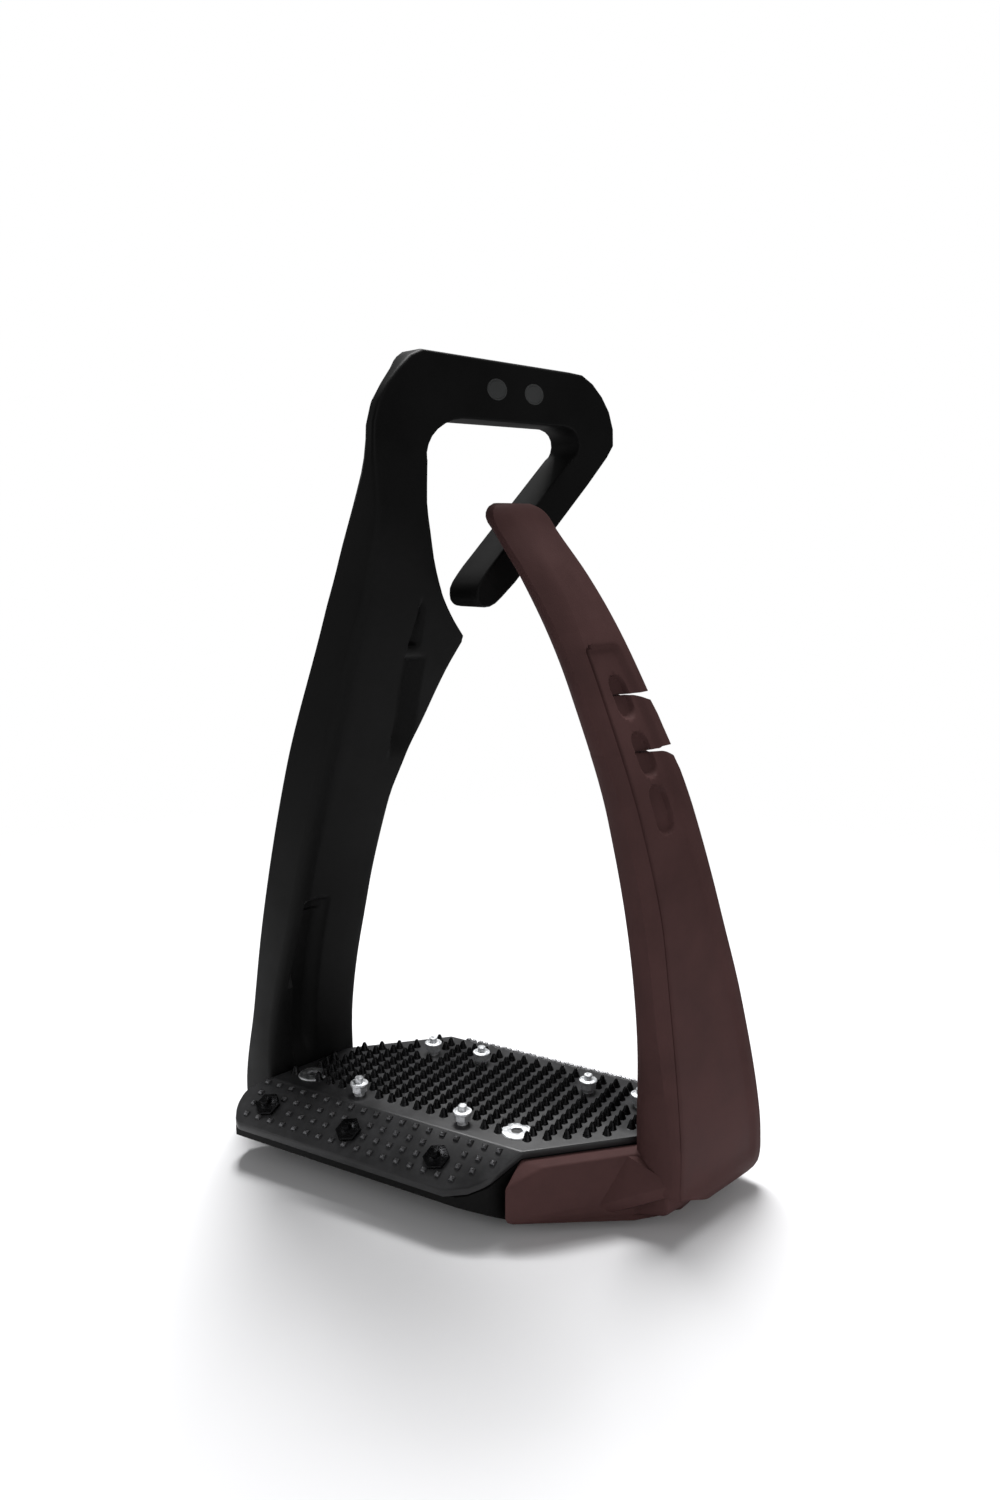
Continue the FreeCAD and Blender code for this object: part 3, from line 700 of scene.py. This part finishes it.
def arm_station(height):
    """One section of the arm, bent up or down beside the slits."""
    front, rear = arm_front(height), arm_rear(height)
    width, thick = rear - front, arm_outer(height) - arm_inner(height)
    crease = crease_along(height) - front
    chamfer = min(crease - 0.35, width * 0.3)
    edge = min(ARM_EDGE, thick * 0.2)
    drop = min(FRONT_CHAMFER_DROP, thick * 0.35)
    bevel = (arm_bevel(height), min(BEVEL_DEPTH, thick * 0.45), 0.35)
    corners = [(edge, edge, 1), (edge, edge, 1), bevel, (chamfer, drop, 0.3)]
    rim = rim_width(height)
    marks = spaced([(chamfer, 2), (crease - 0.05, 6), (crease + 1, 40), (width - rim - RIM_FILLET, 8),
                    (width - rim, 4), (width - ARM_EDGE - 0.3, 3), (width - edge, 0)])
    ring = []
    for u, v in rounded_section(width, thick, corners, marks):
        along = front + u
        level = height + slit_shift(along, height) + foot_rise(along, height)
        inner, outer = arm_inner(level), arm_outer(level)
        relief = arm_relief(along, level) if v > thick - 0.01 else 0
        ring.append((inner + (outer - inner) * v / thick - relief, along, level))
    return ring


def slit_wall(slit, side):
    """The ring at a slit's root: its rear points climb the end wall from face to back."""
    ring = arm_station(slit.height + side * LIP_GAP)
    cut = [i for i, point in enumerate(ring) if point[1] > slit.root]
    level = slit.height + side * ROOT_GAP
    face, back = arm_outer(level) - ROOT_INSET, arm_inner(level)
    for order, i in enumerate(cut):
        ring[i] = (face + (back - face) * (order + 1) / (len(cut) + 1), slit.root, level)
    return ring


def arm_rings(low, high):
    """Rings of the arm between two heights, with every slit's lips and root."""
    if low == ARM_FLOOR:
        heights = evenly(low, 12, 1.4) + evenly(13, 26, 1.3) + evenly(28, high, PLAIN_STEP)
    elif high == ARM_TIP:
        heights = evenly(low, 142, FINE_STEP) + evenly(143.5, 164, PLAIN_STEP)
        heights += [165.5, 167, 168.2, 169.2, 170, 170.6, 171, 171.3]
    else:
        heights = evenly(low, high, FINE_STEP)
    rings = []
    for height in heights:
        for slit in SLITS:
            if low < slit.height < high and rings and rings[-1][0][2] < slit.height < height:
                rings.append(arm_station(slit.height - LIP_GAP))
                rings.append(slit_wall(slit, -1))
                rings.append(slit_wall(slit, 1))
                rings.append(arm_station(slit.height + LIP_GAP))
        if all(abs(height - slit.height) > 0.1 for slit in SLITS):
            rings.append(arm_station(height))
    return [[arm_point(*point) for point in ring] for ring in rings]


def make_arm_part(name, low, high, bend, node_name):
    """One length of the arm, between two heights."""
    piece = finish_mesh(name, loft(arm_rings(low, high), ARM_FACE_POINTS), BROWN_POLYMER)
    middle = arm_point(arm_outer(bend), 12, bend) * MM
    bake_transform(piece)
    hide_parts(node_name)


FOOT_BEND, FOOT_BEND_REACH = 38, 8
make_arm_part("flexible_arm_lower", ARM_FLOOR, 76,
              FOOT_BEND, "arm_lower")
make_arm_part("flexible_arm_middle", 76, 121,
              LOWER_SLIT, "arm_middle")
make_arm_part("flexible_arm_upper", 121, ARM_TIP,
              UPPER_SLIT, "arm_upper")


def trim(bm, point, normal):
    """Cuts away what lies beyond a plane and closes the cut."""
    cut = bmesh.ops.bisect_plane(bm, geom=bm.verts[:] + bm.edges[:] + bm.faces[:],
                                 plane_co=point, plane_no=normal, clear_outer=True)
    rim = [item for item in cut["geom_cut"] if isinstance(item, bmesh.types.BMEdge)]
    bmesh.ops.contextual_create(bm, geom=rim)


def prism(corners, low, high):
    """A closed upright block over a plan."""
    bm = bmesh.new()
    floor = [bm.verts.new((x, y, low)) for x, y in corners]
    roof = [bm.verts.new((x, y, high)) for x, y in corners]
    bm.faces.new(floor[::-1])
    bm.faces.new(roof)
    join_rows(bm, [floor, roof])
    return bm


def soften(bm, offset, segments=3, keep=None):
    """Rounds the sharp edges, or those that keep picks."""
    bm.normal_update()
    sharp = [edge for edge in bm.edges if edge.is_manifold and edge.calc_face_angle(0) > math.radians(20)]
    if keep:
        sharp = [edge for edge in sharp if keep(edge)]
    bmesh.ops.bevel(bm, geom=sharp, offset=offset, segments=segments, profile=0.5, affect="EDGES",
                    clamp_overlap=True)


FOOT_PLAN = [(23.5, -30.5), (47.5, -6.5), (56, -8.6), (64.5, 18), (57, 27.6), (40, 2), (24, -16)]
FOOT_TOP = 17.8
FOOT_LOW = 2
FOOT_LOW_BEVEL = 3.6
FOOT_EDGE = 0.7

# The web fills the valley between the foot and the arm's front edge.
FOOT_WEB = [(45.6, -8.4, 17.3), (40.5, -13.5, 5.4), (57.6, -9.1, 13.6), (56.8, -8.7, 10.2),
            (47.5, -7.5, 3.6), (42, -11.9, 2.6), (52, 2, 2.2), (56, -4, 13.5), (50, 0, 17)]
TONGUE_PLAN = [(27, -17), (31, -17), (56, 2), (59, 20), (46, 20), (27, -6)]
TONGUE_THICKNESS = 4.5
TONGUE_EDGE = 0.8


def make_foot():
    """The arm's foot, which wraps the cut corner of the tread."""
    bm = prism(FOOT_PLAN, FOOT_LOW, FOOT_TOP)
    outer = [Vector(corner) for corner in FOOT_PLAN[:5]]
    low_outer = [vert for vert in bm.verts
                 if vert.co.z < FOOT_LOW + 0.1 and any((vert.co.xy - spot).length < 0.1 for spot in outer)]
    low_edges = [edge for edge in bm.edges if all(vert in low_outer for vert in edge.verts)]
    bmesh.ops.bevel(bm, geom=low_edges, offset=FOOT_LOW_BEVEL, segments=3, profile=0.4, affect="EDGES")
    slope_point = Vector((0, -FOLD_DEPTH, TREAD_TOP - PLATE))
    trim(bm, slope_point, Vector((0, -math.sin(FACET_SLOPE), math.cos(FACET_SLOPE))))
    soften(bm, FOOT_EDGE)
    web = [bm.verts.new(corner) for corner in FOOT_WEB]
    bmesh.ops.convex_hull(bm, input=web)
    piece = finish_mesh("arm_foot_shell", bm, BROWN_POLYMER)
    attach(piece, "root")
    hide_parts("arm_foot")


def make_tongue():
    """The arm's tongue, screwed under the base."""
    bm = prism(TONGUE_PLAN, 0, TONGUE_THICKNESS)
    soften(bm, TONGUE_EDGE)
    piece = finish_mesh("arm_tongue", bm, BROWN_POLYMER)
    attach(piece, "root")


make_foot()
make_tongue()

# ---- tread plate with its spikes

left_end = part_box("tread_plate")[0][0] / MM
PLATE_FRONT = [(-53.4, -FOLD_DEPTH), (left_end, -27.5), (left_end + 0.4, -32), (-55, -FACET_DEPTH),
               (10, -FACET_DEPTH), (15.5, -34), (19.5, -31), (24.4, -FOLD_DEPTH)]
PLATE_SIDE = (46.2, -2.2)
PLATE_CORNER = 1.6
PLATE_EDGE = 0.35

# Spikes stand in rows that are counted from one spike of the grid.
SPIKE_PITCH_X, SPIKE_PITCH_Y = 4, 3
SPIKE_START = (-9.2, -14.7)
SPIKE_ROWS = range(-2, 13)
SPIKE_COLUMNS = range(-14, 20)
SPIKE_HEIGHT = 2.4
SPIKE_RADIUS = 1.4
SPIKE_SIDES = 8
SPIKE_PROFILE = [(1.0, -0.1), (0.76, 0.16), (0.62, 0.42), (0.47, 0.68), (0.28, 0.9)]
POINT_ROWS = range(4)
POINT_COLUMNS = range(20)
POINT_START = -57.2
FIRST_POINT_ROW, POINT_ROW_PITCH = 1.6, 3.4
POINT_HEIGHT = 0.9
POINT_RADIUS = 1.1
CLEAR_OF_STUD = 3.4
CLEAR_OF_EDGE = 2.4
POINT_CLEAR_OF_EDGE = 1.0


def facet_height(depth):
    """Height of the plate's top at a depth from the middle."""
    return TREAD_TOP - max(abs(depth) - FOLD_DEPTH, 0) * math.tan(FACET_SLOPE)


def half_turned(points):
    """Plan points after half a turn, under which the plate stays the same."""
    return [(-x, -y) for x, y in points]


def node_centre(name):
    """Plan centre of a node, in millimetres."""
    low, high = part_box(name)
    return Vector(((low[0] + high[0]) / 2, (low[1] + high[1]) / 2)) / MM


def inside_plan(x, y, outline, margin):
    """Whether a point lies inside a convex outline by a margin."""
    for (x0, y0), (x1, y1) in zip(outline, outline[1:] + outline[:1]):
        length = math.hypot(x1 - x0, y1 - y0)
        if ((x1 - x0) * (y - y0) - (y1 - y0) * (x - x0)) / length < margin:
            return False
    return True


def add_spike(bm, base):
    """A thorn on the flat: wide foot, thin waist and a small tip."""
    normal = Vector((0, 0, 1))
    side = normal.orthogonal().normalized()
    other = normal.cross(side)
    rows = []
    for scale, level in SPIKE_PROFILE:
        row = []
        for i in range(SPIKE_SIDES):
            turn = math.tau * i / SPIKE_SIDES
            offset = side * math.cos(turn) + other * math.sin(turn)
            row.append(bm.verts.new(base + offset * SPIKE_RADIUS * scale + normal * SPIKE_HEIGHT * level))
        rows.append(row)
    tip = bm.verts.new(base + normal * SPIKE_HEIGHT)
    join_rows(bm, rows)
    for i in range(SPIKE_SIDES):
        bm.faces.new((rows[-1][i], rows[-1][(i + 1) % SPIKE_SIDES], tip))
    bm.faces.new(rows[0][::-1])


def add_point(bm, base, normal):
    """A small four-sided pyramid with a blunt tip."""
    side = Vector((1, 0, 0))
    other = normal.cross(side)
    rows = []
    for scale, level in ((1.0, -0.1), (0.78, 0.5), (0.3, 1.0)):
        half = POINT_RADIUS * scale * 0.7
        centre = base + normal * POINT_HEIGHT * level
        rows.append([bm.verts.new(centre + (side * a + other * b) * half)
                     for a, b in ((-1, -1), (1, -1), (1, 1), (-1, 1))])
    join_rows(bm, rows)
    bm.faces.new(rows[0][::-1])
    bm.faces.new(rows[-1])


def upright_corner(edge):
    """Whether an edge of the plate stands upright at a corner of its plan."""
    first, second = (vert.co for vert in edge.verts)
    return abs(first.z - second.z) > PLATE * 0.99 and math.dist(first.xy, second.xy) < 0.1


def make_tread_plate():
    """The bent plate: a flat and two sloping facets, with a softened rim. Gives the flat's outline."""
    flat = [PLATE_FRONT[0], PLATE_FRONT[-1], PLATE_SIDE]
    flat += half_turned(flat)
    bm = bmesh.new()
    shared = {}

    def corner(x, y):
        key = (round(x, 3), round(y, 3))
        if key not in shared:
            shared[key] = bm.verts.new((x, y, facet_height(y)))
        return shared[key]

    for outline in (flat, PLATE_FRONT, half_turned(PLATE_FRONT)):
        bm.faces.new([corner(x, y) for x, y in outline])
    top = bm.faces[:]
    made = bmesh.ops.extrude_face_region(bm, geom=top)
    for item in made["geom"]:
        if isinstance(item, bmesh.types.BMVert):
            item.co.z -= PLATE
    bmesh.ops.recalc_face_normals(bm, faces=bm.faces)
    soften(bm, PLATE_CORNER, 4, upright_corner)
    soften(bm, PLATE_EDGE, 2)
    piece = finish_mesh("tread_plate_sheet", bm, COATED_PLATE)
    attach(piece, "root")
    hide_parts("tread_plate")
    return flat


FASTENER_SPOTS = [node_centre(name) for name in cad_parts
                  if name.startswith(("top_stud", "front_stud", "pad_screw"))]


def clear_of_fasteners(x, y):
    """Whether a spike or point at a place stays clear of every stud and screw."""
    return all(math.dist((x, y), spot) > CLEAR_OF_STUD for spot in FASTENER_SPOTS)


def make_spikes(flat):
    """Rows of thorns over the flat, left out round the studs and screws."""
    bm = bmesh.new()
    for row in SPIKE_ROWS:
        y = SPIKE_START[1] + row * SPIKE_PITCH_Y
        for column in SPIKE_COLUMNS:
            x = SPIKE_START[0] + column * SPIKE_PITCH_X
            if inside_plan(x, y, flat, CLEAR_OF_EDGE) and clear_of_fasteners(x, y):
                add_spike(bm, Vector((x, y, TREAD_TOP)))
    piece = finish_mesh("grip_spikes", bm, SPIKE_STEEL, 50)
    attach(piece, "root")


def make_facet_points():
    """Rows of low points over both facets."""
    bm = bmesh.new()
    for side in (-1, 1):
        normal = Vector((0, side * math.sin(FACET_SLOPE), math.cos(FACET_SLOPE)))
        outline = PLATE_FRONT if side < 0 else half_turned(PLATE_FRONT)
        for row in POINT_ROWS:
            depth = FOLD_DEPTH + (FIRST_POINT_ROW + POINT_ROW_PITCH * row) * math.cos(FACET_SLOPE)
            y = side * depth
            for column in POINT_COLUMNS:
                x = (POINT_START + SPIKE_PITCH_X * column) * -side
                if inside_plan(x, y, outline, POINT_CLEAR_OF_EDGE) and clear_of_fasteners(x, y):
                    add_point(bm, Vector((x, y, facet_height(depth))), normal)
    piece = finish_mesh("facet_points", bm, HIGHLIGHTED_POINT_STEEL, 20)
    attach(piece, "root")


make_spikes(make_tread_plate())
make_facet_points()


# ---- studs, screws and small parts

TURNED_SIDES = 24
HEX_LIMIT = 3.6
HALF_HEX_SIDE = math.pi / 6


def turned_part(name, profile, spot, axis, material, waist=None, stretch=None):
    """A part turned from a profile of (radius, height).

    waist is a range of heights where radii under HEX_LIMIT are six-sided, as a drive or a socket is.
    stretch makes the part oval: a direction whose length is how many times wider it is that way.
    """
    bm = bmesh.new()
    side = stretch or axis.orthogonal().normalized()
    other = axis.cross(side).normalized()
    rows = []
    for radius, level in profile:
        row = []
        for i in range(TURNED_SIDES):
            turn = math.tau * i / TURNED_SIDES
            reach = radius
            if waist and waist[0] <= level <= waist[1] and radius < HEX_LIMIT:
                facet = (turn + HALF_HEX_SIDE) % (2 * HALF_HEX_SIDE) - HALF_HEX_SIDE
                reach = radius * math.cos(HALF_HEX_SIDE) / math.cos(facet)
            offset = side * math.cos(turn) + other * math.sin(turn)
            row.append(bm.verts.new(spot + offset * reach + axis * level))
        rows.append(row)
    join_rows(bm, rows)
    bm.faces.new(rows[0][::-1])
    bm.faces.new(rows[-1])
    return finish_mesh(name, bm, material, 28)


# Profiles start at the hidden shank's lower end. Level 0 is the plate's top.
STUD_PROFILE = [(1.5, -5), (1.5, -0.1), (1.35, 0.05), (1.35, 0.75), (1.9, 1.0), (2.15, 1.15), (2.15, 2.65),
                (2.3, 2.8), (2.4, 2.95), (2.4, 3.35), (2.3, 3.45), (1.2, 3.55), (1.0, 3.65), (1.0, 4.45),
                (1.12, 4.55), (1.12, 4.8), (0.95, 4.95), (0.4, 5)]
STUD_WAIST = (1.1, 2.7)
FACET_STUD_PROFILE = [(1.5, -4), (1.5, -0.1), (2.9, 0.05), (3.4, 0.2), (3.5, 0.45), (3.5, 0.95), (3.3, 1.2),
                      (2.0, 1.35), (1.5, 1.5), (1.25, 1.7), (1.15, 2.7), (1.0, 3.0), (0.5, 3.1)]
FACET_STUD_WAIST = (0.1, 1.25)
FACET_STUD_REACH = 8
SCREW_PROFILE = [(1.5, -6.5), (1.5, -1.8), (3.7, -0.3), (3.95, -0.1), (3.95, 0.15), (3.75, 0.38), (2.9, 0.52),
                 (1.75, 0.58), (1.6, 0.5), (1.5, -0.4), (1.3, -0.5), (0.3, -0.55)]
SCREW_SOCKET = (-0.52, 0.52)


def make_studs_and_screws():
    """Every stud and tread screw, at its own node."""
    for name in sorted(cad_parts):
        spot = Vector((*node_centre(name), TREAD_TOP))
        axis = Vector((0, 0, 1))
        if name.startswith("top_stud"):
            piece = turned_part(name + "_turned", STUD_PROFILE, spot, axis, ZINC_STEEL, STUD_WAIST)
        elif name.startswith("front_stud"):
            side = math.copysign(1, spot.y)
            axis = Vector((0, side * math.sin(FACET_SLOPE), math.cos(FACET_SLOPE)))
            depth = FOLD_DEPTH + FACET_STUD_REACH * math.cos(FACET_SLOPE)
            spot = Vector((spot.x, side * depth, facet_height(depth)))
            piece = turned_part(name + "_turned", FACET_STUD_PROFILE, spot, axis, BLACK_STEEL,
                                FACET_STUD_WAIST)
        elif name.startswith("pad_screw"):
            piece = turned_part(name + "_head", SCREW_PROFILE, spot, axis, ZINC_STEEL, SCREW_SOCKET)
        else:
            continue
        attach(piece, "root")
        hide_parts(name)


make_studs_and_screws()

PLUG_LENGTH = 2.3
PLUG_PROFILE = [(2.2, 0), (2.35, PLUG_LENGTH), (2.3, 2.42), (2.08, 2.44), (2.0, 2.32), (1.86, 2.32),
                (1.76, 2.42), (0.3, 2.46)]
PLUG_HEIGHT = 196.5
PLUG_STRETCH = 1.35


def make_core_plugs():
    """The two oval plugs over the core's moulding holes, in the crossbar's inner face."""
    middle = arm_point(0, 0, 0)
    for name, along in (("core_plug_front", -2.3), ("core_plug_rear", 9.9)):
        spot = arm_point(EYE_FACE - PLUG_LENGTH, along, PLUG_HEIGHT)
        piece = turned_part(name + "_cap", PLUG_PROFILE, spot, arm_point(1, 0, 0) - middle, GREY_PLUG,
                            stretch=(arm_point(0, 1, 0) - middle) * PLUG_STRETCH)
        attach(piece, "root")
        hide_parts(name)


make_core_plugs()


def dress_node(name, material, bevel=0.0):
    """Gives a CAD node its finish, and softens its edges where it shows."""
    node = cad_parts[name]
    if not node.material_slots:
        node.data.materials.append(None)
    for slot in node.material_slots:
        slot.link = "OBJECT"
        slot.material = material
    if bevel:
        weld = node.modifiers.new("weld", "WELD")
        weld.merge_threshold = 1e-6
        round_edges = node.modifiers.new("soft edges", "BEVEL")
        round_edges.width = bevel * MM
        round_edges.segments = 2
        round_edges.limit_method = "ANGLE"
        round_edges.angle_limit = math.radians(25)
        round_edges.harden_normals = True


dress_node("tread_base", BLACK_POLYMER, 0.5)
dress_node("steel_core", SPRING_STEEL)
for insert in ("pad_insert_left", "pad_insert_right", "arm_insert_front", "arm_insert_rear"):
    dress_node(insert, BRASS)
for screw in ("arm_screw_front", "arm_screw_rear"):
    dress_node(screw, ZINC_STEEL, 0.3)


# ---- floor, light and camera

FLOOR_REACH = 4000
FLOOR_FADE = (0.06, 0.5)
FLOOR_GAP = 0.0002


def make_stage():
    """A pale floor that runs out into the bright backdrop."""
    bm = bmesh.new()
    bmesh.ops.create_grid(bm, x_segments=1, y_segments=1, size=FLOOR_REACH)
    material, tree, shader = start_material("pale_floor", Roughness=0.9, Specular_IOR_Level=0.1)
    place = add_node(tree, "ShaderNodeTexCoord")
    reach = add_node(tree, "ShaderNodeVectorMath", operation="LENGTH")
    fade = add_node(tree, "ShaderNodeMapRange", {"From Min": FLOOR_FADE[0], "From Max": FLOOR_FADE[1]},
                    interpolation_type="SMOOTHSTEP")
    noise = add_node(tree, "ShaderNodeTexNoise", {"Scale": 30.0, "Detail": 4})
    tree.links.new(place.outputs["Object"], reach.inputs[0])
    tree.links.new(reach.outputs["Value"], fade.inputs["Value"])
    tree.links.new(mix_colours(tree, noise.outputs["Fac"], colour(226, 226, 228), colour(234, 234, 235)),
                   shader.inputs["Base Color"])
    open_air = add_node(tree, "ShaderNodeBsdfTransparent")
    either = add_node(tree, "ShaderNodeMixShader")
    wire(tree,
         (fade, "Result", either, 0),
         (shader, "BSDF", either, 1),
         (open_air, "BSDF", either, 2),
         (either, "Shader", tree.nodes["Material Output"], "Surface"))
    floor = finish_mesh("floor", bm, material)
    floor.location = (0, -0.06, cad_box[0][2] - FLOOR_GAP)


def soft_light(name, place, target, size, power):
    """A soft box that shines from a place at a target, in metres."""
    light = bpy.data.lights.new(name, "AREA")
    light.shape = "RECTANGLE"
    light.size, light.size_y = size
    light.energy = power
    holder = bpy.data.objects.new(name, light)
    holder.location = place
    holder.rotation_mode = "QUATERNION"
    holder.rotation_quaternion = (Vector(target) - Vector(place)).to_track_quat("-Z", "Y")
    bpy.context.scene.collection.objects.link(holder)


def make_light():
    """A bright backdrop to look at, a dimmer room to light by, and soft boxes."""
    world = bpy.data.worlds.new("studio")
    bpy.context.scene.world = world
    world.use_nodes = True
    tree = world.node_tree
    backdrop = tree.nodes["Background"]
    backdrop.inputs["Color"].default_value = (1, 1, 1, 1)
    backdrop.inputs["Strength"].default_value = 1.0
    room = add_node(tree, "ShaderNodeBackground", {"Color": (1, 1, 1, 1), "Strength": 0.2})
    path = add_node(tree, "ShaderNodeLightPath")
    choose = add_node(tree, "ShaderNodeMixShader")
    wire(tree,
         (path, "Is Camera Ray", choose, 0),
         (room, 0, choose, 1),
         (backdrop, 0, choose, 2),
         (choose, 0, tree.nodes["World Output"], "Surface"))
    centre = (cad_box[0] + cad_box[1]) / 2
    soft_light("overhead box", (-0.12, 0.22, 0.85), centre, (0.35, 0.35), 11)
    soft_light("front left box", (-0.75, -0.7, 0.45), centre, (0.5, 0.5), 1.2)
    soft_light("right box", (0.8, -0.45, 0.35), centre, (0.5, 0.6), 1.9)


def make_camera():
    """The view: from the front right, a little below the crossbar's height."""
    camera = bpy.data.cameras.new("camera")
    camera.lens = 26.64
    camera.shift_y = 0.0247
    camera.clip_start = 0.01
    holder = bpy.data.objects.new("camera", camera)
    holder.location = Vector((137.56, -236.02, 162.0)) * MM
    holder.rotation_euler = (math.radians(90 - 12.31), 0, math.radians(29.26))
    bpy.context.scene.collection.objects.link(holder)
    bpy.context.scene.camera = holder
    bpy.context.scene.view_settings.view_transform = "Standard"


make_stage()
make_light()
make_camera()
